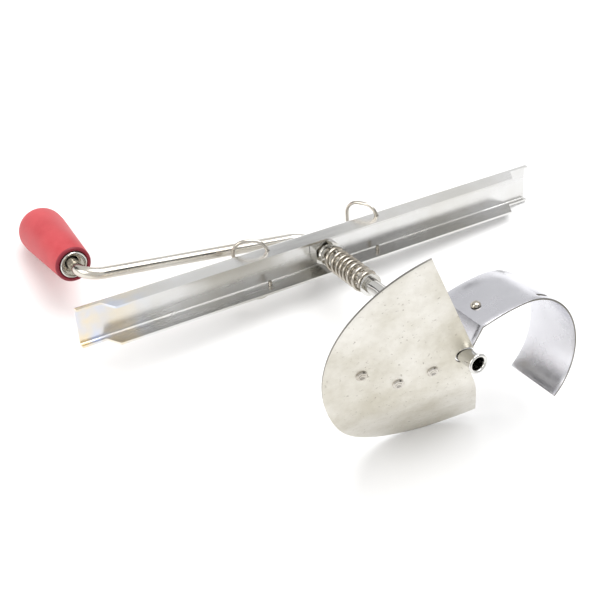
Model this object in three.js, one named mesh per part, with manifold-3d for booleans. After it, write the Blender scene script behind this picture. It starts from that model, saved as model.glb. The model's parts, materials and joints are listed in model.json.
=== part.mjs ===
// Crank and blade assembly of a rotary food mill, lying at rest on a table. Millimetres, +Z up.
// The pieces are drawn in the crossbar's own frame: X along the bar, Y along the shaft towards the
// crank, Z across the bar's web. One group then lays the whole assembly down on three points.
import * as THREE from "three";
import { mergeVertices } from "three/addons/utils/BufferGeometryUtils.js";
import Module from "manifold-3d";

const wasm = await Module();
wasm.setup();

// Driving dimensions
const BAR_LENGTH = 240;
const BAR_HALF_HEIGHT = 9.5;
const FLANGE_DEPTH = 9.5;
const BAR_SHEET = 1.0;
const BEND_RADIUS = 1.6;
const END_LIP_LENGTH = 15;
const END_LIP_DEPTH = 2.4;
const END_LIP_RAMP = 4;

const ROD_RADIUS = 2.7;
const CRANK_RADIUS = 110;
const CRANK_LIFT = THREE.MathUtils.degToRad(7.6);
const ARM_Y = 14.4;
const ROD_BEND = 9;
const ROD_TAIL_Y = -62;

const GRIP_MOUTH_Y = 27.1;
const GRIP_LENGTH = 50;
const GRIP_MOUTH_RADIUS = 8.2;
const GRIP_BELLY_RADIUS = 10.8;
const FERRULE_RADIUS = 6.1;
const FERRULE_DEPTH = 9;

const SPRING_TOP_Y = -10.4;
const SPRING_END_Y = -42;
const SPRING_RADIUS = 4.9;
const SPRING_WIRE = 0.8;
const SPRING_TURNS = 6.5;

const TUBE_RADIUS = 3.45;
const TUBE_WALL = 0.6;
const TUBE_TIP_Y = -120;
const TIP_RIM_RADIUS = 4.4;

const BLADE_Y = -111.2;
const BLADE_SHEET = 0.9;
const BLADE_TOP_RADIUS = 58.6;
const BLADE_LOW_RADIUS = 55.4;
const BLADE_TILT_X = -0.245;
const BLADE_TILT_Z = -0.273;
const CURL_LINE_Z = -20.3;
const CURL_LINE_SLOPE = 0.153;
const CURL_SLOPE = 0.5;
const CURL_SOFTNESS = 8;

const SWEEPER_FRONT_Y = -111.4;
const SWEEPER_WIDTH = 28.8;
const SWEEPER_SHEET = 0.8;

const BAIL_X = 29.2;
const BAIL_Y = -3.4;
const BAIL_REACH = 15.5;
const BAIL_RISE = 13.4;
const BAIL_WIRE = 0.8;
const LEFT_BAIL_SWING = THREE.MathUtils.degToRad(60);
const RIGHT_BAIL_SWING = THREE.MathUtils.degToRad(32);

const GAP = 0.3;
const LAY_ANGLES = [-22.688, -11.124, 34.97];

// Finishes
const steel = new THREE.MeshStandardMaterial({ color: 0xc9c9cc, roughness: 0.28, metalness: 1 });
const bladeSteel = new THREE.MeshStandardMaterial({ color: 0xc4c0b4, roughness: 0.45, metalness: 1 });
const chrome = new THREE.MeshStandardMaterial({ color: 0xd4d4d6, roughness: 0.15, metalness: 1 });
const redPlastic = new THREE.MeshStandardMaterial({ color: 0xd23a3c, roughness: 0.5, metalness: 0 });

function solidOf(geometry) {
  const bare = geometry.clone();
  bare.deleteAttribute("normal");
  bare.deleteAttribute("uv");
  const merged = mergeVertices(bare, 1e-4);
  const vertProperties = merged.attributes.position.array;
  const triVerts = new Uint32Array(merged.index.array);
  return new wasm.Manifold(new wasm.Mesh({ numProp: 3, vertProperties, triVerts }));
}

function geometryOf(solid) {
  const { vertProperties, triVerts } = solid.getMesh();
  const geometry = new THREE.BufferGeometry();
  geometry.setAttribute("position", new THREE.BufferAttribute(vertProperties, 3));
  geometry.setIndex(new THREE.BufferAttribute(triVerts, 1));
  geometry.computeVertexNormals();
  return geometry;
}

function cut(geometry, ...tools) {
  return geometryOf(tools.reduce((solid, tool) => solid.subtract(solidOf(tool)), solidOf(geometry)));
}

function named(name, geometry, material) {
  const mesh = new THREE.Mesh(geometry, material);
  mesh.name = name;
  return mesh;
}

function box(sizeX, sizeY, sizeZ, x, y, z) {
  return new THREE.BoxGeometry(sizeX, sizeY, sizeZ).translate(x, y, z);
}

// A turned piece about the Y axis, from [radius, y] pairs that close on the axis or on themselves.
function turned(profile, segments = 24) {
  return new THREE.LatheGeometry(profile.map(([r, y]) => new THREE.Vector2(r, y)), segments);
}

// A ring about the Y axis between two radii and two heights.
function ring(inner, outer, lowY, highY, segments = 24) {
  return turned([[inner, lowY], [outer, lowY], [outer, highY], [inner, highY], [inner, lowY]], segments);
}

function wire(curve, radius, steps, sides) {
  const section = new THREE.Shape();
  for (let i = 0; i < sides; i++) {
    const angle = (2 * Math.PI * i) / sides;
    const place = [radius * Math.cos(angle), radius * Math.sin(angle)];
    if (i) section.lineTo(...place);
    else section.moveTo(...place);
  }
  return new THREE.ExtrudeGeometry(section, { steps, extrudePath: curve });
}

// A path of straight runs joined by round bends at its inner corners.
function bentPath(corners, bend) {
  const path = new THREE.CurvePath();
  let from = corners[0];
  for (let i = 1; i < corners.length - 1; i++) {
    const back = corners[i - 1].clone().sub(corners[i]).normalize();
    const ahead = corners[i + 1].clone().sub(corners[i]).normalize();
    const half = back.angleTo(ahead) / 2;
    const centre = back.clone().add(ahead).normalize().multiplyScalar(bend / Math.sin(half)).add(corners[i]);
    const start = corners[i].clone().addScaledVector(back, bend / Math.tan(half));
    const end = corners[i].clone().addScaledVector(ahead, bend / Math.tan(half));
    path.add(new THREE.LineCurve3(from, start));
    path.add(new RoundBend(centre, start, end));
    from = end;
  }
  path.add(new THREE.LineCurve3(from, corners.at(-1)));
  return path;
}

class RoundBend extends THREE.Curve {
  constructor(centre, start, end) {
    super();
    this.centre = centre;
    this.first = start.clone().sub(centre);
    this.last = end.clone().sub(centre);
    this.turn = this.first.angleTo(this.last);
  }
  getPoint(t, target = new THREE.Vector3()) {
    const whole = Math.sin(this.turn);
    const a = Math.sin((1 - t) * this.turn) / whole;
    const b = Math.sin(t * this.turn) / whole;
    return target.copy(this.centre).addScaledVector(this.first, a).addScaledVector(this.last, b);
  }
}

// The crossbar: a sheet steel channel, its flanges on the blade's side and cut down to lips at its ends.
function crossbar() {
  const high = BAR_HALF_HEIGHT;
  const back = BAR_SHEET;
  const inner = high - BAR_SHEET;
  const innerBend = BEND_RADIUS - BAR_SHEET;
  const section = new THREE.Shape();
  section.moveTo(-FLANGE_DEPTH, -high);
  section.lineTo(back - BEND_RADIUS, -high);
  section.absarc(back - BEND_RADIUS, BEND_RADIUS - high, BEND_RADIUS, -Math.PI / 2, 0, false);
  section.lineTo(back, high - BEND_RADIUS);
  section.absarc(back - BEND_RADIUS, high - BEND_RADIUS, BEND_RADIUS, 0, Math.PI / 2, false);
  section.lineTo(-FLANGE_DEPTH, high);
  section.lineTo(-FLANGE_DEPTH, inner);
  section.lineTo(-innerBend, inner);
  section.absarc(-innerBend, inner - innerBend, innerBend, Math.PI / 2, 0, true);
  section.lineTo(0, innerBend - inner);
  section.absarc(-innerBend, innerBend - inner, innerBend, 0, -Math.PI / 2, true);
  section.lineTo(-FLANGE_DEPTH, -inner);
  section.closePath();
  const blank = new THREE.ExtrudeGeometry(section, { depth: BAR_LENGTH, bevelEnabled: false, curveSegments: 4 });
  // The extrusion runs along Z: turn it so that its section's X, Y and depth lie along Y, Z and X.
  blank.applyMatrix4(new THREE.Matrix4().makeBasis(
    new THREE.Vector3(0, 1, 0), new THREE.Vector3(0, 0, 1), new THREE.Vector3(1, 0, 0)));
  blank.translate(-BAR_LENGTH / 2, 0, 0);
  const tools = [shaftHole(), endCut(1), endCut(-1)];
  for (const x of [-BAIL_X, BAIL_X]) tools.push(bailHole(x));
  return named("crossbar", cut(blank, ...tools), steel);
}

function shaftHole() {
  return new THREE.CylinderGeometry(BUSH_NECK + GAP / 2, BUSH_NECK + GAP / 2, 10, 32);
}

function bailHole(x) {
  const hole = new THREE.CylinderGeometry(BAIL_WIRE + 0.25, BAIL_WIRE + 0.25, 4 * BAR_HALF_HEIGHT, 16);
  return hole.rotateX(Math.PI / 2).translate(x, BAIL_Y, 0);
}

// The piece cut from both flanges at one end of the bar, which leaves a low lip and a slanted shoulder.
function endCut(side) {
  const end = BAR_LENGTH / 2 + 1;
  const shoulder = BAR_LENGTH / 2 - END_LIP_LENGTH;
  const deep = -FLANGE_DEPTH - 1;
  const outline = new THREE.Shape();
  outline.moveTo(end, deep);
  outline.lineTo(end, -END_LIP_DEPTH);
  outline.lineTo(shoulder + END_LIP_RAMP, -END_LIP_DEPTH);
  outline.lineTo(shoulder, -FLANGE_DEPTH);
  outline.lineTo(shoulder, deep);
  outline.closePath();
  const height = 3 * BAR_HALF_HEIGHT;
  const tool = new THREE.ExtrudeGeometry(outline, { depth: height, bevelEnabled: false });
  tool.translate(0, 0, -height / 2);
  return side > 0 ? tool : tool.rotateY(Math.PI);
}

// The bush: a hexagon head inside the channel, a round neck through the web and a rear ring on it.
const BUSH_BORE = ROD_RADIUS + 0.08;
const BUSH_NECK = 4.6;
const BUSH_HEAD = 6.6;
const BUSH_HEAD_Y = -6.2;
const BUSH_REAR_Y = 5;

function bush() {
  const head = new THREE.CylinderGeometry(BUSH_HEAD, BUSH_HEAD, -BUSH_HEAD_Y - GAP, 6);
  head.translate(0, (BUSH_HEAD_Y - GAP) / 2, 0);
  const collar = new THREE.CylinderGeometry(BUSH_NECK, BUSH_NECK - 0.6, 1, 24);
  collar.translate(0, BUSH_HEAD_Y - 0.4, 0);
  const neck = new THREE.CylinderGeometry(BUSH_NECK, BUSH_NECK, BUSH_REAR_Y + 2, 24);
  neck.translate(0, BUSH_REAR_Y / 2 - 1, 0);
  const whole = solidOf(head).add(solidOf(collar)).add(solidOf(neck));
  const bore = new THREE.CylinderGeometry(BUSH_BORE, BUSH_BORE, 40, 24);
  return named("shaft_bush", geometryOf(whole.subtract(solidOf(bore))), chrome);
}

function bushRing() {
  const inner = BUSH_NECK + 0.1;
  return named("bush_lock_ring", ring(inner, inner + 2.6, BAR_SHEET + GAP, BAR_SHEET + GAP + 1.2), chrome);
}

// The crank rod: one bent rod for the shaft, the arm and the spindle that the grip turns on.
const armDirection = new THREE.Vector3(-Math.cos(CRANK_LIFT), 0, Math.sin(CRANK_LIFT));
const spindle = armDirection.clone().multiplyScalar(CRANK_RADIUS);
const SPINDLE_END_Y = GRIP_MOUTH_Y + GRIP_LENGTH - 12;

function crankRod() {
  const corners = [
    new THREE.Vector3(0, ROD_TAIL_Y, 0),
    new THREE.Vector3(0, ARM_Y, 0),
    new THREE.Vector3(spindle.x, ARM_Y, spindle.z),
    new THREE.Vector3(spindle.x, SPINDLE_END_Y, spindle.z),
  ];
  return named("crank_rod", wire(bentPath(corners, ROD_BEND), ROD_RADIUS, 84, 12), chrome);
}

// The grip: a hollow tapered knob with a round end, on the spindle.
function gripProfile() {
  const bore = ROD_RADIUS + 0.25;
  const mouth = GRIP_MOUTH_Y;
  const end = mouth + GRIP_LENGTH;
  const points = [[bore, mouth + FERRULE_DEPTH + GAP], [FERRULE_RADIUS + GAP, mouth + FERRULE_DEPTH + GAP]];
  points.push([FERRULE_RADIUS + GAP, mouth + 0.6], [FERRULE_RADIUS + 0.9, mouth]);
  points.push([GRIP_MOUTH_RADIUS - 0.8, mouth], [GRIP_MOUTH_RADIUS, mouth + 0.8]);
  points.push([GRIP_BELLY_RADIUS, end - 13]);
  for (let i = 1; i <= 6; i++) {
    const angle = (i * Math.PI) / 12;
    points.push([GRIP_BELLY_RADIUS * Math.cos(angle), end - 9 + 9 * Math.sin(angle)]);
  }
  points[points.length - 1][0] = 0;
  points.push([0, SPINDLE_END_Y + 3.5], [STOP_RADIUS + 0.5, SPINDLE_END_Y + 3.5]);
  points.push([STOP_RADIUS + 0.5, SPINDLE_END_Y - 5], [bore, SPINDLE_END_Y - 5]);
  points.push([bore, mouth + FERRULE_DEPTH + GAP]);
  return points;
}

const STOP_RADIUS = 4.6;

function onSpindle(mesh) {
  mesh.position.set(spindle.x, 0, spindle.z);
  return mesh;
}

function grip() {
  return onSpindle(named("grip", turned(gripProfile(), 28), redPlastic));
}

function ferrule() {
  const bore = ROD_RADIUS + 0.08;
  const mouth = GRIP_MOUTH_Y;
  const cup = [[bore, mouth + 3], [bore + 1, mouth + 1.6], [FERRULE_RADIUS - 0.9, mouth + 0.6]];
  cup.push([FERRULE_RADIUS - 0.5, mouth - 0.4], [FERRULE_RADIUS, mouth - 0.2]);
  cup.push([FERRULE_RADIUS, mouth + FERRULE_DEPTH], [bore, mouth + FERRULE_DEPTH], [bore, mouth + 3]);
  return onSpindle(named("grip_ferrule", turned(cup, 24), chrome));
}

// The push-on ring that holds the grip on its spindle, in a chamber inside the grip.
function spindleStop() {
  const inner = ROD_RADIUS + 0.05;
  const lowY = SPINDLE_END_Y - 3.6;
  return onSpindle(named("spindle_stop", ring(inner, STOP_RADIUS, lowY, lowY + 1.4), steel));
}

// The press spring and its two seats.
class SpringCurve extends THREE.Curve {
  getPoint(t, target = new THREE.Vector3()) {
    const angle = 2 * Math.PI * SPRING_TURNS * t;
    const top = SPRING_TOP_Y - SPRING_WIRE;
    const end = SPRING_END_Y + SPRING_WIRE;
    const eased = t - Math.sin(2 * Math.PI * t) / (2 * Math.PI) * 0.75;
    const y = THREE.MathUtils.lerp(top, end, eased);
    return target.set(SPRING_RADIUS * Math.cos(angle), y, SPRING_RADIUS * Math.sin(angle));
  }
}

function spring() {
  return named("press_spring", wire(new SpringCurve(), SPRING_WIRE, 104, 6), chrome);
}

function topWasher() {
  const highY = SPRING_TOP_Y + 1.3;
  return named("spring_washer", ring(ROD_RADIUS + 0.1, 5.2, SPRING_TOP_Y + GAP, highY), steel);
}

function springSeat() {
  const highY = SPRING_END_Y - GAP;
  return named("spring_seat", ring(TUBE_RADIUS + 0.1, 5.2, highY - 1, highY), steel);
}

// The hub tube: a thin sleeve crimped on the rod's tail, with a rolled rim at its open tip.
function hubTube() {
  const bore = TUBE_RADIUS - TUBE_WALL;
  const top = SPRING_END_Y + 2;
  const profile = [[bore, top], [bore, TUBE_TIP_Y + 0.7], [bore + 0.5, TUBE_TIP_Y]];
  for (let i = 0; i <= 4; i++) {
    const angle = -Math.PI / 2 + (i * Math.PI) / 4;
    profile.push([TIP_RIM_RADIUS - 0.7 + 0.7 * Math.cos(angle), TUBE_TIP_Y + 0.7 + 0.7 * Math.sin(angle)]);
  }
  profile.push([TUBE_RADIUS, TUBE_TIP_Y + 1.8], [TUBE_RADIUS, top], [bore, top]);
  return named("hub_tube", turned(profile, 24), chrome);
}

// Height of the blade's middle surface along the shaft: a slanted plane that curls back at the foot.
function bladeHeight(x, z) {
  const past = CURL_LINE_Z + CURL_LINE_SLOPE * x - z;
  const curl = (CURL_SLOPE * (past + Math.hypot(past, CURL_SOFTNESS))) / 2;
  return BLADE_Y + BLADE_TILT_X * x + BLADE_TILT_Z * z + curl;
}

const NOTCH_RADIUS = TUBE_RADIUS + 0.5;

// A point of the blade's outline field: across from the notch to the rim, round from the top edge.
function bladePoint(across, round) {
  const inner = THREE.MathUtils.degToRad(THREE.MathUtils.lerp(30, 282, round));
  const outer = THREE.MathUtils.degToRad(THREE.MathUtils.lerp(112.5, 296, round));
  const low = THREE.MathUtils.smoothstep(round, 0.2, 0.6);
  const reach = THREE.MathUtils.lerp(BLADE_TOP_RADIUS, BLADE_LOW_RADIUS, low);
  const x = THREE.MathUtils.lerp(NOTCH_RADIUS * Math.cos(inner), reach * Math.cos(outer), across);
  const z = THREE.MathUtils.lerp(NOTCH_RADIUS * Math.sin(inner), reach * Math.sin(outer), across);
  return [x, z];
}

function blade() {
  const sheet = new THREE.BoxGeometry(1, BLADE_SHEET, 1, 7, 1, 24);
  const place = sheet.attributes.position;
  for (let i = 0; i < place.count; i++) {
    const [x, z] = bladePoint(place.getX(i) + 0.5, place.getZ(i) + 0.5);
    place.setXYZ(i, x, place.getY(i) + bladeHeight(x, z), z);
  }
  const holes = RIVETS.map(([x, z]) => along(rivetShank(0.15), x, z));
  return named("press_blade", cut(sheet, ...holes), bladeSteel);
}

// Rivets through the blade and the strap behind it, square to the blade's plane.
const RIVETS = [[-42, 1], [-26, -8.4], [-12.3, -5.5]];
const bladeNormal = new THREE.Vector3(-BLADE_TILT_X, 1, -BLADE_TILT_Z).normalize();
const squareToBlade = new THREE.Quaternion().setFromUnitVectors(new THREE.Vector3(0, 1, 0), bladeNormal);

function along(geometry, x, z) {
  return geometry.applyQuaternion(squareToBlade).translate(x, bladeHeight(x, z), z);
}

function rivetShank(spare) {
  return new THREE.CylinderGeometry(1 + spare, 1 + spare, 12, 16);
}

function rivet(index) {
  const [x, z] = RIVETS[index];
  const face = -BLADE_SHEET / 2 - 0.15;
  const tail = 3.2;
  const profile = [[0, tail], [1.9, tail], [1.9, tail - 0.7], [1, tail - 0.7], [1, face], [2.6, face]];
  profile.push([2.3, face - 0.6], [1.4, face - 1.1], [0, face - 1.3]);
  return named("blade_rivet_" + (index + 1), along(turned(profile.reverse(), 14), x, z), steel);
}

// The strap that carries the blade: a flat bar behind it, from the hub tube outwards.
const STRAP_SHEET = 1.2;

function bladeStrap() {
  const offset = (BLADE_SHEET + STRAP_SHEET) / 2 + 0.4;
  const strap = new THREE.BoxGeometry(42, STRAP_SHEET, 15, 7, 1, 4);
  const place = strap.attributes.position;
  for (let i = 0; i < place.count; i++) {
    const x = place.getX(i) - 25.6;
    const z = place.getZ(i) - 4 + 0.1 * (x + 12);
    place.setXYZ(i, x, place.getY(i) + bladeHeight(x, z) + offset, z);
  }
  const holes = RIVETS.map(([x, z]) => along(rivetShank(0.15), x, z));
  return named("blade_strap", cut(strap, ...holes), steel);
}

// The sweeper: a strip that leaves the tube, folds out and ends in a wide hook.
const HOOK_X = 31.2;
const HOOK_Z = -15.8;
const HOOK_RADIUS_X = 26.2;
const HOOK_RADIUS_Z = 29.2;
const HOOK_END = THREE.MathUtils.degToRad(-52);
const FOOT = [3.35, 2.25];
const FOLD = [8.4, 9.6];

function sweeperSection() {
  const half = SWEEPER_SHEET / 2;
  const top = HOOK_Z + HOOK_RADIUS_Z;
  const outline = new THREE.Shape();
  outline.moveTo(FOOT[0] - half, FOOT[1] + half);
  outline.lineTo(FOLD[0] - half, FOLD[1] + half);
  outline.quadraticCurveTo(22, top + half, HOOK_X, top + half);
  outline.absellipse(HOOK_X, HOOK_Z, HOOK_RADIUS_X + half, HOOK_RADIUS_Z + half, Math.PI / 2, HOOK_END, true);
  const tip = [Math.cos(HOOK_END), Math.sin(HOOK_END)];
  outline.lineTo(HOOK_X + (HOOK_RADIUS_X - half) * tip[0], HOOK_Z + (HOOK_RADIUS_Z - half) * tip[1]);
  outline.absellipse(HOOK_X, HOOK_Z, HOOK_RADIUS_X - half, HOOK_RADIUS_Z - half, HOOK_END, Math.PI / 2, false);
  outline.quadraticCurveTo(22, top - half, FOLD[0] + half, FOLD[1] - half);
  outline.lineTo(FOOT[0] + half, FOOT[1] - half);
  outline.closePath();
  return outline;
}

function sweeper() {
  const band = new THREE.ExtrudeGeometry(sweeperSection(), {
    depth: SWEEPER_WIDTH, bevelEnabled: false, curveSegments: 14,
  });
  // The section is drawn in X and Z, so the extrusion runs along -Y: turn it and slide it back.
  band.rotateX(Math.PI / 2).translate(0, SWEEPER_FRONT_Y + SWEEPER_WIDTH, 0);
  const slotAngle = THREE.MathUtils.degToRad(68);
  const slot = box(4.6, 1.6, 8, 0, 0, 0);
  slot.rotateY(Math.PI / 2 - slotAngle);
  slot.translate(HOOK_X + HOOK_RADIUS_X * Math.cos(slotAngle), SWEEPER_FRONT_Y + 3.4,
    HOOK_Z + HOOK_RADIUS_Z * Math.sin(slotAngle));
  const hole = new THREE.CylinderGeometry(1.15, 1.15, 8, 16);
  hole.rotateX(Math.PI / 2).translate(...SWEEPER_RIVET);
  return named("sweeper_band", cut(band, slot, hole), steel);
}

const SWEEPER_RIVET = [14.4, SWEEPER_FRONT_Y + 12.6, 11.3];

function sweeperRivet() {
  const profile = [[0, -2.2], [1.8, -2.2], [1.8, -1.4], [1, -1.4], [1, 0.9], [2.1, 0.9], [1.8, 1.5], [0.9, 2], [0, 2.1]];
  const body = turned(profile, 14);
  body.rotateX(Math.PI / 2).rotateY(THREE.MathUtils.degToRad(-12)).translate(...SWEEPER_RIVET);
  return named("sweeper_rivet", body, steel);
}

// A wire bail: it hangs in a hole of each flange and swings behind the web.
function bail(name, x, swing) {
  const end = BAR_HALF_HEIGHT - BAR_SHEET - 1.4;
  const corners = [
    new THREE.Vector3(0, 0, end),
    new THREE.Vector3(0, 0, BAIL_RISE),
    new THREE.Vector3(0, BAIL_REACH, BAIL_RISE - 1),
    new THREE.Vector3(0, BAIL_REACH, 1 - BAIL_RISE),
    new THREE.Vector3(0, 0, -BAIL_RISE),
    new THREE.Vector3(0, 0, -end),
  ];
  const mesh = named(name, wire(bentPath(corners, 2.8), BAIL_WIRE, 34, 6), chrome);
  mesh.rotation.z = swing;
  mesh.position.set(x, BAIL_Y, 0);
  return mesh;
}

function assembly() {
  const bar = new THREE.Group();
  bar.add(crossbar(), bush(), bushRing(), topWasher());
  bar.add(bail("left_bail", -BAIL_X, LEFT_BAIL_SWING), bail("right_bail", BAIL_X, RIGHT_BAIL_SWING));
  bar.add(spring(), springSeat(), crankRod(), spindleStop(), hubTube());
  bar.add(blade(), bladeStrap(), rivet(0), rivet(1), rivet(2), sweeper(), sweeperRivet());
  bar.add(grip(), ferrule());
  return bar;
}

// The assembly lies on the grip, the bar's far end and the foot of the blade, centred on the origin.
function layDown(group) {
  group.rotation.set(...LAY_ANGLES.map(THREE.MathUtils.degToRad));
  const table = new THREE.Group();
  table.add(group);
  const extent = new THREE.Box3().setFromObject(table, true);
  const centre = extent.getCenter(new THREE.Vector3());
  group.position.set(-centre.x, -centre.y, -extent.min.z);
  return table;
}

export default layDown(assembly());
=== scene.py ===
# %% [markdown]
# # Crank and blade of a rotary food mill
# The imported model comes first, and every new piece is placed by it. The whole tool lies tilted on a
# table, so each piece is drawn in the crossbar's own frame (X along the bar, Y along the shaft
# towards the crank, Z across the web) and one matrix then lays it down.

# %% load the fixed frame
import bpy, bmesh, json, math
from mathutils import Matrix, Vector


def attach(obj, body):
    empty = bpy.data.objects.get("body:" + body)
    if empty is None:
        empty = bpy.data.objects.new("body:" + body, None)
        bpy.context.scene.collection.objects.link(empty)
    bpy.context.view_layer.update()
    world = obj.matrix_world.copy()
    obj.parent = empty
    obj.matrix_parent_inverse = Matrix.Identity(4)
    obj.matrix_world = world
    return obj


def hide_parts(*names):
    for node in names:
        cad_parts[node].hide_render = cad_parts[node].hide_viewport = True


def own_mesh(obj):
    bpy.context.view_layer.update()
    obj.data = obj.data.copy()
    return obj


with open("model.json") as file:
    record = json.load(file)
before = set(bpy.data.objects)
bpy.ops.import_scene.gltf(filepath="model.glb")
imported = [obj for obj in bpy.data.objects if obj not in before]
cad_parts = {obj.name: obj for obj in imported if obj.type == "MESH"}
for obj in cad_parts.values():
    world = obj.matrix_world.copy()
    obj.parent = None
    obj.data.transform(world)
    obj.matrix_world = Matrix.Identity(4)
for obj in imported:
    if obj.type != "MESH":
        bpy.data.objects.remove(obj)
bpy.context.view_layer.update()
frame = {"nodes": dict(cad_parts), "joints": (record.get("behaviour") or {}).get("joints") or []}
joints = {joint["name"]: joint for joint in frame["joints"]}
shaft_axis = Vector(joints["crank_turn"]["axis"]).normalized()
web_axis = Vector(joints["left_bail_swing"]["axis"]).normalized()
bar_axis = shaft_axis.cross(web_axis)
LAY = (Matrix.Translation(joints["crank_turn"]["pos_m"])
       @ Matrix((bar_axis, shaft_axis, web_axis)).transposed().to_4x4())
MM = 0.001
WELD_DISTANCE = 1e-4
SHARP_ANGLE = math.radians(40)

# %% [markdown]
# ## Helpers
# A turned piece is a profile spun once round the shaft's direction. A bent wire is a circle that is
# extruded along straight runs and spun round each bend, the way wire is bent on a bench. Both could
# be curves with a round bevel, but the operators give clean rings of faces. Every piece is drawn in
# millimetres, its normals are turned outwards, and only then is it laid down in metres.


# %% finish a bmesh as one piece
def piece(name, bm, body, material, replaced):
    bmesh.ops.remove_doubles(bm, verts=bm.verts, dist=WELD_DISTANCE)
    bmesh.ops.recalc_face_normals(bm, faces=bm.faces)
    bmesh.ops.transform(bm, matrix=LAY @ Matrix.Scale(MM, 4), verts=bm.verts)
    mesh = bpy.data.meshes.new(name)
    bm.to_mesh(mesh)
    bm.free()
    for face in mesh.polygons:
        face.use_smooth = True
    mesh.set_sharp_from_angle(angle=SHARP_ANGLE)
    made = bpy.data.objects.new(name, mesh)
    bpy.context.scene.collection.objects.link(made)
    made.data.materials.append(material)
    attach(made, body)
    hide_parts(replaced)
    print(name, len(mesh.polygons), "faces")
    return made


# %% turn a profile round the Y direction
def turn(profile, centre=(0, 0), steps=64):
    bm = bmesh.new()
    points = [bm.verts.new((centre[0] + r, y, centre[1])) for r, y in profile]
    edges = [bm.edges.new(pair) for pair in zip(points, points[1:])]
    bmesh.ops.spin(bm, geom=points + edges, cent=(centre[0], 0, centre[1]), axis=(0, 1, 0),
                   angle=2 * math.pi, steps=steps, use_merge=True)
    return bm


# %% bend a wire: a straight run is a vector, a bend is (centre, axis, angle)
def bend_wire(start, facing, radius, moves, sides, steps):
    bm = bmesh.new()
    look = Vector(facing).to_track_quat("Z", "Y").to_matrix().to_4x4()
    bmesh.ops.create_circle(bm, cap_ends=True, segments=sides, radius=radius,
                            matrix=Matrix.Translation(start) @ look)
    end = bm.faces[:]
    for index, move in enumerate(moves):
        if isinstance(move, Vector):
            made = bmesh.ops.extrude_face_region(bm, geom=end)["geom"]
            ring = [item for item in made if isinstance(item, bmesh.types.BMVert)]
            bmesh.ops.translate(bm, verts=ring, vec=move)
        else:
            centre, axis, angle = move
            made = bmesh.ops.spin(bm, geom=end, cent=centre, axis=axis, angle=angle, steps=steps)
            made = made["geom_last"]
        if index > 0:
            bmesh.ops.delete(bm, geom=end, context="FACES_ONLY")
        end = [item for item in made if isinstance(item, bmesh.types.BMFace)]
    return bm


# %% [markdown]
# ## Materials
# Tinned and plated steel show soft, uneven reflections: the colour hardly varies, but the roughness
# does. Noise on Object coordinates varies both, and a finer noise adds marks and a little bump. The
# coordinates are turned back to the bar's own frame first, so that marks can be drawn out along the
# bar as rolling does. The blade is duller, with warm stains in patches and small pits. The bar's
# left end has a straw and blue stain, as heat leaves on steel. The grip is satin red plastic.


# %% shared metal recipe
STAIN_START = -0.085
STAIN_FULL = -0.117
STAIN_STRENGTH = 0.8
STRAW = (0.88, 0.74, 0.50, 1)
BLUE = (0.66, 0.72, 0.90, 1)
PIT_COLOUR = (0.16, 0.13, 0.10, 1)
BUMP_HEIGHT = 0.0004


def add_node(tree, kind, **inputs):
    node = tree.nodes.new(kind)
    for key, value in inputs.items():
        node.inputs[key.replace("_", " ")].default_value = value
    return node


def ramp_between(tree, source, low, high, start=0.35, end=0.65):
    ramp = tree.nodes.new("ShaderNodeValToRGB")
    ramp.color_ramp.elements[0].position = start
    ramp.color_ramp.elements[1].position = end
    ramp.color_ramp.elements[0].color = low
    ramp.color_ramp.elements[1].color = high
    tree.links.new(source, ramp.inputs["Fac"])
    return ramp.outputs["Color"]


def grey(value):
    return (value, value, value, 1)


def bar_frame(tree):
    """Object coordinates in metres, turned back to the bar's own frame"""
    place = tree.nodes.new("ShaderNodeTexCoord")
    turned = tree.nodes.new("ShaderNodeMapping")
    turned.vector_type = "TEXTURE"
    turned.inputs["Location"].default_value = LAY.to_translation()
    turned.inputs["Rotation"].default_value = LAY.to_euler()
    tree.links.new(place.outputs["Object"], turned.inputs["Vector"])
    return turned


def mix_in(tree, under, over, share):
    """over laid on under, by share; over is always a plain colour or a socket"""
    mix = tree.nodes.new("ShaderNodeMix")
    mix.data_type = "RGBA"
    tree.links.new(under, mix.inputs["A"])
    if isinstance(over, tuple):
        mix.inputs["B"].default_value = over
    else:
        tree.links.new(over, mix.inputs["B"])
    tree.links.new(share, mix.inputs["Factor"])
    return mix.outputs["Result"]


def heat_tint(tree, turned, colour):
    """a straw and blue stain that fades in towards the bar's left end"""
    split = tree.nodes.new("ShaderNodeSeparateXYZ")
    tree.links.new(turned.outputs["Vector"], split.inputs["Vector"])
    near_end = add_node(tree, "ShaderNodeMapRange")
    near_end.inputs["From Min"].default_value = STAIN_START
    near_end.inputs["From Max"].default_value = STAIN_FULL
    near_end.inputs["To Max"].default_value = STAIN_STRENGTH
    tree.links.new(split.outputs["X"], near_end.inputs["Value"])
    cloud = add_node(tree, "ShaderNodeTexNoise", Scale=55.0, Detail=3.0)
    tree.links.new(turned.outputs["Vector"], cloud.inputs["Vector"])
    stain = ramp_between(tree, cloud.outputs["Fac"], STRAW, BLUE, 0.42, 0.58)
    return mix_in(tree, colour, stain, near_end.outputs["Result"])


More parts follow.
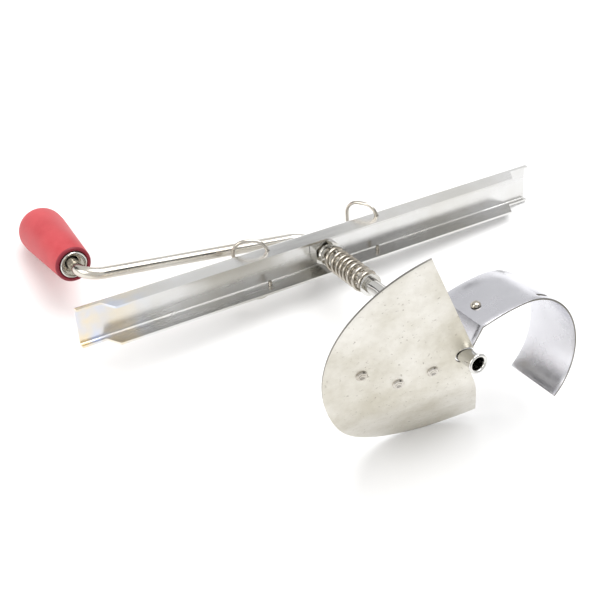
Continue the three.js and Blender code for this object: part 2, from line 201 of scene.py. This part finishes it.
def metal(name, clean, stained, rough, grain, bump, stain_scale=22.0, streak=(1, 1, 1), pits=0.0,
          tint=False):
    """a metal from clean to stained colour, with roughness between the two values in rough"""
    material = bpy.data.materials.new(name)
    material.use_nodes = True
    tree = material.node_tree
    shader = tree.nodes["Principled BSDF"]
    shader.inputs["Metallic"].default_value = 1.0
    turned = bar_frame(tree)
    stretch = tree.nodes.new("ShaderNodeMapping")
    stretch.inputs["Scale"].default_value = streak
    tree.links.new(turned.outputs["Vector"], stretch.inputs["Vector"])
    patches = add_node(tree, "ShaderNodeTexNoise", Scale=stain_scale, Detail=6.0, Roughness=0.62)
    marks = add_node(tree, "ShaderNodeTexNoise", Scale=grain, Detail=4.0, Roughness=0.6)
    tree.links.new(turned.outputs["Vector"], patches.inputs["Vector"])
    tree.links.new(stretch.outputs["Vector"], marks.inputs["Vector"])
    colour = ramp_between(tree, patches.outputs["Fac"], clean, stained)
    if tint:
        colour = heat_tint(tree, turned, colour)
    if pits:
        specks = add_node(tree, "ShaderNodeTexNoise", Scale=620.0, Detail=3.0, Roughness=0.7)
        tree.links.new(turned.outputs["Vector"], specks.inputs["Vector"])
        colour = mix_in(tree, colour, PIT_COLOUR,
                        ramp_between(tree, specks.outputs["Fac"], grey(0), grey(pits), 0.63, 0.72))
    tree.links.new(colour, shader.inputs["Base Color"])
    tree.links.new(ramp_between(tree, marks.outputs["Fac"], grey(rough[0]), grey(rough[1]), 0.3, 0.7),
                   shader.inputs["Roughness"])
    dents = add_node(tree, "ShaderNodeBump", Strength=bump, Distance=BUMP_HEIGHT)
    tree.links.new(marks.outputs["Fac"], dents.inputs["Height"])
    tree.links.new(dents.outputs["Normal"], shader.inputs["Normal"])
    return material


# %% the finishes of this tool
bar_finish = metal("bar_steel", (0.80, 0.80, 0.80, 1), (0.69, 0.68, 0.65, 1), (0.16, 0.32), 60, 0.14,
                   streak=(0.12, 1, 1), tint=True)
band_finish = metal("band_steel", (0.76, 0.76, 0.80, 1), (0.66, 0.66, 0.70, 1), (0.18, 0.32), 90, 0.12)
blade_finish = metal("blade_steel", (0.78, 0.76, 0.71, 1), (0.58, 0.55, 0.47, 1), (0.32, 0.52), 420, 0.3,
                     stain_scale=30.0, pits=0.6)
plate_finish = metal("bright_plate", (0.80, 0.80, 0.79, 1), (0.60, 0.58, 0.53, 1), (0.07, 0.2), 90, 0.06)
wire_finish = metal("spring_wire", (0.62, 0.59, 0.54, 1), (0.40, 0.36, 0.30, 1), (0.12, 0.28), 160, 0.1)
rod_finish = metal("rod_steel", (0.78, 0.76, 0.72, 1), (0.64, 0.60, 0.53, 1), (0.14, 0.28), 70, 0.06)
# the darker cut edge is partly a raw sheet edge and partly painted shade, which darkens the band's slot
edge_and_shade_finish = metal("cut_edge_and_painted_shade", (0.30, 0.29, 0.27, 1), (0.18, 0.17, 0.15, 1), (0.35, 0.5), 200, 0.2)
print("metals", len(bpy.data.materials))

# %% satin red plastic, with painted shade on the end face round its mouth
RED = (0.47, 0.040, 0.050, 1)
PALE_RED = (0.55, 0.070, 0.080, 1)
# painted shade: a darker red for the grip's end face at the mouth, as if it faced away from the light
SHADED_MOUTH_RED = (0.22, 0.006, 0.02, 1)
MOUTH_SHADE_START = 0.0282
MOUTH_SHADE_FULL = 0.0276
grip_finish = bpy.data.materials.new("red_plastic")
grip_finish.use_nodes = True
grip_tree = grip_finish.node_tree
grip_shader = grip_tree.nodes["Principled BSDF"]
grip_place = grip_tree.nodes.new("ShaderNodeTexCoord")
grip_noise = add_node(grip_tree, "ShaderNodeTexNoise", Scale=70.0, Detail=5.0, Roughness=0.6)
grip_tree.links.new(grip_place.outputs["Object"], grip_noise.inputs["Vector"])
grip_red = ramp_between(grip_tree, grip_noise.outputs["Fac"], RED, PALE_RED)
grip_split = grip_tree.nodes.new("ShaderNodeSeparateXYZ")
grip_tree.links.new(bar_frame(grip_tree).outputs["Vector"], grip_split.inputs["Vector"])
# painted shade: the grip's colour darkens towards the end face at its mouth
mouth_shade = add_node(grip_tree, "ShaderNodeMapRange")
mouth_shade.inputs["From Min"].default_value = MOUTH_SHADE_START
mouth_shade.inputs["From Max"].default_value = MOUTH_SHADE_FULL
grip_tree.links.new(grip_split.outputs["Y"], mouth_shade.inputs["Value"])
grip_tree.links.new(mix_in(grip_tree, grip_red, SHADED_MOUTH_RED, mouth_shade.outputs["Result"]),
                    grip_shader.inputs["Base Color"])
grip_tree.links.new(ramp_between(grip_tree, grip_noise.outputs["Fac"], grey(0.42), grey(0.58)),
                    grip_shader.inputs["Roughness"])
grip_bump = add_node(grip_tree, "ShaderNodeBump", Strength=0.15, Distance=0.0003)
grip_fine = add_node(grip_tree, "ShaderNodeTexNoise", Scale=900.0, Detail=3.0)
grip_tree.links.new(grip_place.outputs["Object"], grip_fine.inputs["Vector"])
grip_tree.links.new(grip_fine.outputs["Fac"], grip_bump.inputs["Height"])
grip_tree.links.new(grip_bump.outputs["Normal"], grip_shader.inputs["Normal"])
print("plastic", grip_finish.name)

# %% [markdown]
# ## Crossbar and its fittings
# The crossbar is folded from steel sheet on a press brake, so it is flat faces with round bends. The
# CAD node already has that shape and keeps it. It only gets its finish, and so do the strap behind
# the blade, the hexagonal bush and the small rings.

# %% give the kept nodes their finishes
kept_finishes = {
    "crossbar": bar_finish, "bush_lock_ring": plate_finish, "spring_washer": plate_finish,
    "spring_seat": plate_finish, "spindle_stop": plate_finish, "blade_strap": bar_finish,
    "shaft_bush": plate_finish,
}
for node, finish in kept_finishes.items():
    kept = frame["nodes"][node]
    kept.data.materials.clear()
    kept.data.materials.append(finish)
    print(node, "keeps its shape")

# %% [markdown]
# ## Crank rod
# One drawn rod is the shaft, the arm and the spindle. It is made as it is bent: a straight run, a
# bend, the arm, a second bend and the spindle.

# %% bend the crank rod
ROD_RADIUS = 2.7
ROD_BEND = 9.0
ROD_TAIL = -62.0
ARM_Y = 14.4
CRANK_RADIUS = 110.0
CRANK_LIFT = math.radians(7.6)
SPINDLE_END = 65.1
arm = Vector((-math.cos(CRANK_LIFT), 0, math.sin(CRANK_LIFT)))
along = Vector((0, 1, 0))
spindle = arm * CRANK_RADIUS
hinge_line = along.cross(arm)
first_centre = along * (ARM_Y - ROD_BEND) + arm * ROD_BEND
last_centre = spindle + along * (ARM_Y + ROD_BEND) - arm * ROD_BEND
rod_moves = [
    along * (ARM_Y - ROD_BEND - ROD_TAIL),
    (first_centre, hinge_line, math.pi / 2),
    arm * (CRANK_RADIUS - 2 * ROD_BEND),
    (last_centre, hinge_line, -math.pi / 2),
    along * (SPINDLE_END - ARM_Y - ROD_BEND),
]
rod = bend_wire(along * ROD_TAIL, along, ROD_RADIUS, rod_moves, sides=32, steps=20)
piece("crank_rod_smooth", rod, "crank", rod_finish, "crank_rod")

# %% [markdown]
# ## Grip and ferrule
# The grip is a moulded plastic taper, narrow at its mouth and round at its far end, and hollow for
# the spindle. The ferrule is a pressed steel cup in its mouth, which the spindle runs in. Both are
# round, so a profile that closes is spun once round the spindle.

# %% turn the grip
MOUTH = 27.1
GRIP_LENGTH = 50
GRIP_END = MOUTH + GRIP_LENGTH
GRIP_BORE = 2.95
CUP = 6.4
STOP_ROOM = 5.1
GRIP_SIDES = 80
BELLY = 10.8
DOME = 9.0
DOME_STEPS = 12
grip_line = [(GRIP_BORE, MOUTH + 9.3), (CUP, MOUTH + 9.3), (CUP, MOUTH + 0.7), (6.6, MOUTH + 0.2)]
grip_line += [(6.9, MOUTH), (7.4, MOUTH), (7.9, MOUTH + 0.25), (8.2, MOUTH + 0.8)]
grip_line += [(9.5, MOUTH + 19), (BELLY, GRIP_END - 13)]
for step in range(DOME_STEPS + 1):
    angle = math.pi / 2 * step / DOME_STEPS
    grip_line.append((BELLY * math.cos(angle), GRIP_END - DOME + DOME * math.sin(angle)))
grip_line[-1] = (0, GRIP_END)
grip_line += [(0, SPINDLE_END + 3.5), (STOP_ROOM, SPINDLE_END + 3.5), (STOP_ROOM, SPINDLE_END - 5)]
grip_line += [(GRIP_BORE, SPINDLE_END - 5), (GRIP_BORE, MOUTH + 9.3)]
place = (spindle.x, spindle.z)
piece("grip_smooth", turn(grip_line, place, GRIP_SIDES), "grip_turner", grip_finish, "grip")

# %% turn the ferrule, a cupped ring in the grip's mouth
ferrule_line = [(2.78, MOUTH + 9), (2.78, MOUTH + 3), (3.2, MOUTH + 2.2), (4.2, MOUTH + 1.4)]
ferrule_line += [(5.2, MOUTH + 0.7), (5.5, MOUTH - 0.25), (5.8, MOUTH - 0.35), (6.1, MOUTH - 0.1)]
ferrule_line += [(6.1, MOUTH + 9), (2.78, MOUTH + 9)]
piece("ferrule_smooth", turn(ferrule_line, place), "grip_turner", plate_finish,
      "grip_ferrule")

# %% [markdown]
# ## Press spring
# The spring is wound from round wire and presses the blade down on the mill's screen. It is a helix,
# and spin makes one when each step also moves along the axis. The points are then moved a little
# along the shaft, so that the coils lie closer in the middle than at the ends.

# %% wind the spring
SPRING_TOP = -10.4
SPRING_END = -42.0
COIL_RADIUS = 4.9
SPRING_WIRE = 0.9
TURNS = 7.5
STEPS_PER_TURN = 28
MIDDLE_CLOSING = 0.3
SPRING_SIDES = 12
top = SPRING_TOP - SPRING_WIRE
run = SPRING_END + SPRING_WIRE - top
spring_bm = bmesh.new()
bmesh.ops.create_circle(spring_bm, cap_ends=False, segments=SPRING_SIDES, radius=SPRING_WIRE,
                        matrix=Matrix.Translation((COIL_RADIUS, top, 0)))
coil_steps = int(TURNS * STEPS_PER_TURN)
bmesh.ops.spin(spring_bm, geom=spring_bm.verts[:] + spring_bm.edges[:], cent=(0, 0, 0), axis=(0, 1, 0),
               dvec=(0, run / coil_steps, 0), angle=-2 * math.pi * TURNS, steps=coil_steps)
open_ends = [wire_edge for wire_edge in spring_bm.edges if wire_edge.is_boundary]
bmesh.ops.holes_fill(spring_bm, edges=open_ends, sides=SPRING_SIDES)
for vert in spring_bm.verts:
    share = min(max((vert.co.y - top) / run, 0), 1)
    vert.co.y += run * MIDDLE_CLOSING * math.sin(2 * math.pi * share) / (2 * math.pi)
spring = piece("press_spring_coils", spring_bm, "spring_carrier", wire_finish,
               "press_spring")
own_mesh(spring)

# %% [markdown]
# ## Hub tube
# The blade sits on a thin sleeve whose open tip is rolled outwards. A half ring of points in the
# profile is the rolled rim. Two flats are then squeezed into the sleeve near its top, where a press
# would crimp it on the rod.

# %% turn and crimp the tube
TIP = -120.0
TUBE = 3.45
BORE = 2.85
TUBE_TOP = -40
ROLL = 0.7
ROLL_STEPS = 8
CRIMP_DEPTH = 0.35
CRIMP_MIDDLE = -50
CRIMP_REACH = 3.2
tube_line = [(BORE, TUBE_TOP), (BORE, TIP + 1.2), (2.95, TIP + 0.5), (3.3, TIP + 0.1)]
for step in range(ROLL_STEPS + 1):
    angle = -math.pi / 2 + math.pi * step / ROLL_STEPS
    tube_line.append((3.7 + ROLL * math.cos(angle), TIP + ROLL + ROLL * math.sin(angle)))
tube_line += [(TUBE + 0.05, TIP + 1.9), (TUBE, TIP + 3)]
tube_line += [(TUBE, height) for height in (-54, -52, -50, -48, -46, TUBE_TOP)]
tube_line.append((BORE, TUBE_TOP))
tube_bm = turn(tube_line, steps=48)
for vert in tube_bm.verts:
    near = max(0, 1 - ((vert.co.y - CRIMP_MIDDLE) / CRIMP_REACH) ** 2)
    if math.hypot(vert.co.x, vert.co.z) > TUBE - 0.1 and near:
        vert.co.x -= math.copysign(CRIMP_DEPTH * near * (abs(vert.co.x) / TUBE) ** 4, vert.co.x)
piece("hub_tube_smooth", tube_bm, "crank", plate_finish, "hub_tube")

# %% [markdown]
# ## Pressing blade
# The blade is a half-moon blanked from sheet and set on a slant, and its foot curls back, so that it
# wedges food down on the screen. A flat grid is laid over the half-moon by two numbers, across from
# the tube to the rim and round the rim, and each point is then lifted to the blade's surface.
# Solidify gives the sheet its thickness, with a darker cut edge: partly the raw edge's own colour,
# partly painted shade.

# %% lay the grid over the blade
BLADE_SHEET = 0.9
BLADE_HEIGHT = -111.2
SLOPE_X = 0.245
SLOPE_Z = 0.273
CURL_START = -20.3
CURL_SLANT = 0.153
CURL_SOFTNESS = 8
CURL_SLOPE = 0.25
NOTCH = 3.95
NOTCH_ANGLES = (30, 282)
RIM_ANGLES = (112.5, 296)
RIM_RADII = (58.6, 55.4)


def blade_height(x, z):
    past = CURL_START + CURL_SLANT * x - z
    curl = CURL_SLOPE * (past + math.hypot(past, CURL_SOFTNESS))
    return BLADE_HEIGHT - SLOPE_X * x - SLOPE_Z * z + curl


def blend(low, high, share):
    return low + (high - low) * share


blade_bm = bmesh.new()
bmesh.ops.create_grid(blade_bm, x_segments=30, y_segments=90, size=0.5)
for vert in blade_bm.verts:
    across = vert.co.x + 0.5
    around = vert.co.y + 0.5
    inner = math.radians(blend(*NOTCH_ANGLES, around))
    outer = math.radians(blend(*RIM_ANGLES, around))
    fade = min(max((around - 0.2) / 0.4, 0), 1)
    reach = blend(*RIM_RADII, fade * fade * (3 - 2 * fade))
    x = blend(NOTCH * math.cos(inner), reach * math.cos(outer), across)
    z = blend(NOTCH * math.sin(inner), reach * math.sin(outer), across)
    vert.co = (x, blade_height(x, z), z)
blade = piece("press_blade_sheet", blade_bm, "crank", blade_finish, "press_blade")


# %% give a sheet its thickness and soft edges
EDGE_WIDTH = 0.12


def thicken(sheet, millimetres):
    wall = sheet.modifiers.new("wall", "SOLIDIFY")
    wall.thickness = millimetres * MM
    wall.offset = 0
    # partly painted shade: the sheet's rim takes the dark cut-edge colour, so that its edges and the
    # slot read darker
    sheet.data.materials.append(edge_and_shade_finish)
    wall.material_offset_rim = 1
    edge = sheet.modifiers.new("edge", "BEVEL")
    edge.width = EDGE_WIDTH * MM
    edge.segments = 2
    edge.limit_method = "ANGLE"
    edge.angle_limit = math.radians(50)


thicken(blade, BLADE_SHEET)
print("blade sheet", BLADE_SHEET, "mm")

# %% [markdown]
# ## Rivets
# Small rivets hold the blade on its strap. Their heads are dished in the middle, as a hollow punch
# leaves them. Each is a turned profile, tilted square to the sheet before it is laid down.


# %% set one rivet
def rivet(name, at, facing, profile, replaced):
    bm = turn(profile, steps=32)
    tilt = along.rotation_difference(Vector(facing).normalized()).to_matrix().to_4x4()
    bmesh.ops.transform(bm, matrix=Matrix.Translation(at) @ tilt, verts=bm.verts)
    piece(name, bm, "crank", wire_finish, replaced)


blade_facing = (SLOPE_X, 1, SLOPE_Z)
blade_rivets_at = [(-42, 1), (-26, -8.4), (-12.3, -5.5)]
blade_rivet = [(0, 3.2), (1.9, 3.2), (1.9, 2.5), (1, 2.5), (1, -0.3), (2.4, -0.4), (2.4, -0.9)]
blade_rivet += [(2.0, -1.35), (1.4, -1.4), (0.9, -0.9), (0, -0.7)]
for index, (x, z) in enumerate(blade_rivets_at, 1):
    rivet(f"blade_rivet_dome_{index}", (x, blade_height(x, z), z), blade_facing, blade_rivet,
          f"blade_rivet_{index}")

# %% [markdown]
# ## Sweeper band
# The band is one strip bent from sheet: a foot on the tube, a fold, a gentle rise and a wide hook.
# It sweeps food back under the blade. Its edge is drawn by spinning a point round the hook and
# extruding on to the fold and the foot, and the edge is then extruded to the band's width. Four
# faces left out near the front edge are its slot.

# %% draw the band's edge and pull it to width
HOOK = Vector((31.2, 0, -15.8))
HOOK_X = 26.2
HOOK_Z = 29.2
HOOK_TURN = math.radians(142)
HOOK_STEPS = 48
FRONT = -111.4
FOLD = Vector((8.4, 0, 9.6))
FOOT = (3.35, 0, 2.25)
BOW_X = 22
BOW_STEPS = 10
BAND_SHEET = 0.8
BAND_ROWS = (2.6, 1.6, 8.2, 8.2, 8.2)
SLOT_START = FRONT + BAND_ROWS[0]
SLOT_END = SLOT_START + BAND_ROWS[1]
SLOT_ANGLES = (62, 74)
band_bm = bmesh.new()
crown = band_bm.verts.new(HOOK + Vector((0, 0, HOOK_X)))
bmesh.ops.spin(band_bm, geom=[crown], cent=HOOK, axis=(0, 1, 0), angle=HOOK_TURN, steps=HOOK_STEPS)
bmesh.ops.scale(band_bm, vec=(1, 1, HOOK_Z / HOOK_X), space=Matrix.Translation(-HOOK),
                verts=band_bm.verts)
crown_place = crown.co.copy()
bow = Vector((BOW_X, 0, crown_place.z))
last = crown
for step in range(1, BOW_STEPS + 1):
    share = step / BOW_STEPS
    there = crown_place * (1 - share) ** 2 + bow * 2 * share * (1 - share) + FOLD * share**2
    grown = bmesh.ops.extrude_vert_indiv(band_bm, verts=[last])["verts"][0]
    grown.co = there
    last = grown
foot = bmesh.ops.extrude_vert_indiv(band_bm, verts=[last])["verts"][0]
foot.co = FOOT
bmesh.ops.translate(band_bm, vec=(0, FRONT, 0), verts=band_bm.verts)
edge_line = band_bm.edges[:]
for width in BAND_ROWS:
    grown = bmesh.ops.extrude_edge_only(band_bm, edges=edge_line)["geom"]
    new_points = [item for item in grown if isinstance(item, bmesh.types.BMVert)]
    bmesh.ops.translate(band_bm, vec=(0, width, 0), verts=new_points)
    new_edges = [item for item in grown if isinstance(item, bmesh.types.BMEdge)]
    edge_line = [item for item in new_edges if abs(item.verts[0].co.y - item.verts[1].co.y) < 1e-6]
slot_faces = []
for face in band_bm.faces:
    middle = face.calc_center_median()
    inside = SLOT_START < middle.y < SLOT_END
    turned_to = math.degrees(math.atan2((middle.z - HOOK.z) / HOOK_Z, (middle.x - HOOK.x) / HOOK_X))
    if inside and SLOT_ANGLES[0] < turned_to < SLOT_ANGLES[1]:
        slot_faces.append(face)
bmesh.ops.delete(band_bm, geom=slot_faces, context="FACES")
print("slot", len(slot_faces), "faces")
band = piece("sweeper_band_sheet", band_bm, "crank", band_finish, "sweeper_band")
thicken(band, BAND_SHEET)

# %% set the band's rivet
band_rivet = [(0, -2.2), (1.8, -2.2), (1.8, -1.4), (1, -1.4), (1, 0.6), (2.2, 0.6)]
band_rivet += [(2.1, 1.0), (1.6, 1.6), (0.9, 1.95), (0, 2.1)]
rivet("sweeper_rivet_dome", (14.4, FRONT + 12.6, 11.3), (-0.2, 0, 1), band_rivet, "sweeper_rivet")

# %% [markdown]
# ## Wire bails
# Each bail is one spring wire with a stub in each flange and a loop behind the web. It is sprung
# into its two holes and swings on them. It is bent like the rod, then turned to where it rests.

# %% bend the bails
BAIL_WIRE = 0.9
BAIL_BEND = 6.2
RISE = 14.6
REACH = 15.5
STUB = 6.4
BAIL_X = 29.2
BAIL_Y = -3.4
LEFT_SWING = 60
RIGHT_SWING = 32


def bail(name, x, swing, body, node):
    up = Vector((0, 0, 1))
    out = Vector((0, 1, 0))
    side = Vector((1, 0, 0))
    quarter = math.pi / 2
    moves = [
        up * (RISE - BAIL_BEND - STUB),
        (up * (RISE - BAIL_BEND) + out * BAIL_BEND, side, -quarter),
        out * (REACH - 2 * BAIL_BEND),
        (up * (RISE - BAIL_BEND) + out * (REACH - BAIL_BEND), side, -quarter),
        up * -2 * (RISE - BAIL_BEND),
        (up * (BAIL_BEND - RISE) + out * (REACH - BAIL_BEND), side, -quarter),
        out * (2 * BAIL_BEND - REACH),
        (up * (BAIL_BEND - RISE) + out * BAIL_BEND, side, -quarter),
        up * (RISE - BAIL_BEND - STUB),
    ]
    bm = bend_wire(up * STUB, up, BAIL_WIRE, moves, sides=16, steps=8)
    turned = Matrix.Translation((x, BAIL_Y, 0)) @ Matrix.Rotation(math.radians(swing), 4, "Z")
    bmesh.ops.transform(bm, matrix=turned, verts=bm.verts)
    piece(name, bm, body, wire_finish, node)


bail("left_bail_wire", -BAIL_X, LEFT_SWING, "left_bail", "left_bail")
bail("right_bail_wire", BAIL_X, RIGHT_SWING, "right_bail", "right_bail")

# %% [markdown]
# ## Table, light and camera
# A plain white table and big soft lights give bright metal its clean look. Three dark cards, which
# only the metal's reflections see, give it something to reflect, so that its shapes read.

# %% table
TABLE_SIZE = 6
TABLE_HEIGHT = -0.0002
floor_bm = bmesh.new()
bmesh.ops.create_grid(floor_bm, x_segments=1, y_segments=1, size=TABLE_SIZE)
floor_mesh = bpy.data.meshes.new("table_top")
floor_bm.to_mesh(floor_mesh)
floor_bm.free()
floor = bpy.data.objects.new("table_top", floor_mesh)
floor.location.z = TABLE_HEIGHT
bpy.context.scene.collection.objects.link(floor)
floor_finish = bpy.data.materials.new("table_white")
floor_finish.use_nodes = True
floor_shader = floor_finish.node_tree.nodes["Principled BSDF"]
floor_shader.inputs["Base Color"].default_value = (0.93, 0.93, 0.93, 1)
floor_shader.inputs["Roughness"].default_value = 0.6
floor_mesh.materials.append(floor_finish)
print("table", floor.name)


# %% lights
def soft_light(name, place, target, size, power, colour=(1, 1, 1)):
    lamp = bpy.data.lights.new(name, "AREA")
    lamp.shape = "RECTANGLE"
    lamp.size, lamp.size_y = size
    lamp.energy = power
    lamp.color = colour
    made = bpy.data.objects.new(name, lamp)
    made.location = place
    made.rotation_euler = (Vector(target) - Vector(place)).to_track_quat("-Z", "Y").to_euler()
    bpy.context.scene.collection.objects.link(made)


soft_light("overhead", (0.1, 0.35, 1.1), (0, 0, 0), (1.2, 0.9), 11)
soft_light("window", (-0.9, -0.5, 0.7), (0, 0, 0), (0.7, 0.7), 4.5, (1, 0.97, 0.92))


# %% dark cards and the sky
CARD_TARGET = Vector((0, 0, 0.04))
SKY_STRENGTH = 0.75


def dark_card(name, place, size, shade):
    bm = bmesh.new()
    aim = (Vector(place) - CARD_TARGET).to_track_quat("Z", "Y").to_matrix().to_4x4()
    bmesh.ops.create_grid(bm, x_segments=1, y_segments=1, size=size,
                          matrix=Matrix.Translation(place) @ aim)
    mesh = bpy.data.meshes.new(name)
    bm.to_mesh(mesh)
    bm.free()
    card_finish = bpy.data.materials.new(name)
    card_finish.use_nodes = True
    card_shader = card_finish.node_tree.nodes["Principled BSDF"]
    card_shader.inputs["Base Color"].default_value = (shade, shade, shade, 1)
    card_shader.inputs["Roughness"].default_value = 1.0
    mesh.materials.append(card_finish)
    made = bpy.data.objects.new(name, mesh)
    made.visible_camera = False
    made.visible_shadow = False
    made.visible_diffuse = False
    bpy.context.scene.collection.objects.link(made)


dark_card("card_right", (0.8, -0.25, 0.75), 0.26, 0.05)
dark_card("card_back", (-0.25, 1.3, 0.16), 0.07, 0.1)
dark_card("card_left", (-0.9, 0.2, 0.3), 0.22, 0.02)
studio = bpy.data.worlds.new("studio")
studio.use_nodes = True
studio.node_tree.nodes["Background"].inputs["Color"].default_value = (1, 1, 1, 1)
studio.node_tree.nodes["Background"].inputs["Strength"].default_value = SKY_STRENGTH
bpy.context.scene.world = studio
bpy.context.scene.view_settings.view_transform = "Standard"
print("lights", len(bpy.data.lights), "sky", SKY_STRENGTH)

# %% camera
CAMERA_PLACE = (0.010176, -0.334381, 0.448397)
CAMERA_PITCH = math.radians(36.22)
CAMERA_ROLL = math.radians(9.11)
FOCAL_LENGTH = 70.37
lens = bpy.data.cameras.new("camera")
lens.lens = FOCAL_LENGTH
camera = bpy.data.objects.new("camera", lens)
camera.matrix_world = (Matrix.Translation(CAMERA_PLACE)
                       @ Matrix.Rotation(CAMERA_PITCH, 4, "X")
                       @ Matrix.Rotation(CAMERA_ROLL, 4, "Z"))
bpy.context.scene.collection.objects.link(camera)
bpy.context.scene.camera = camera
print("camera", [round(value, 3) for value in camera.location])
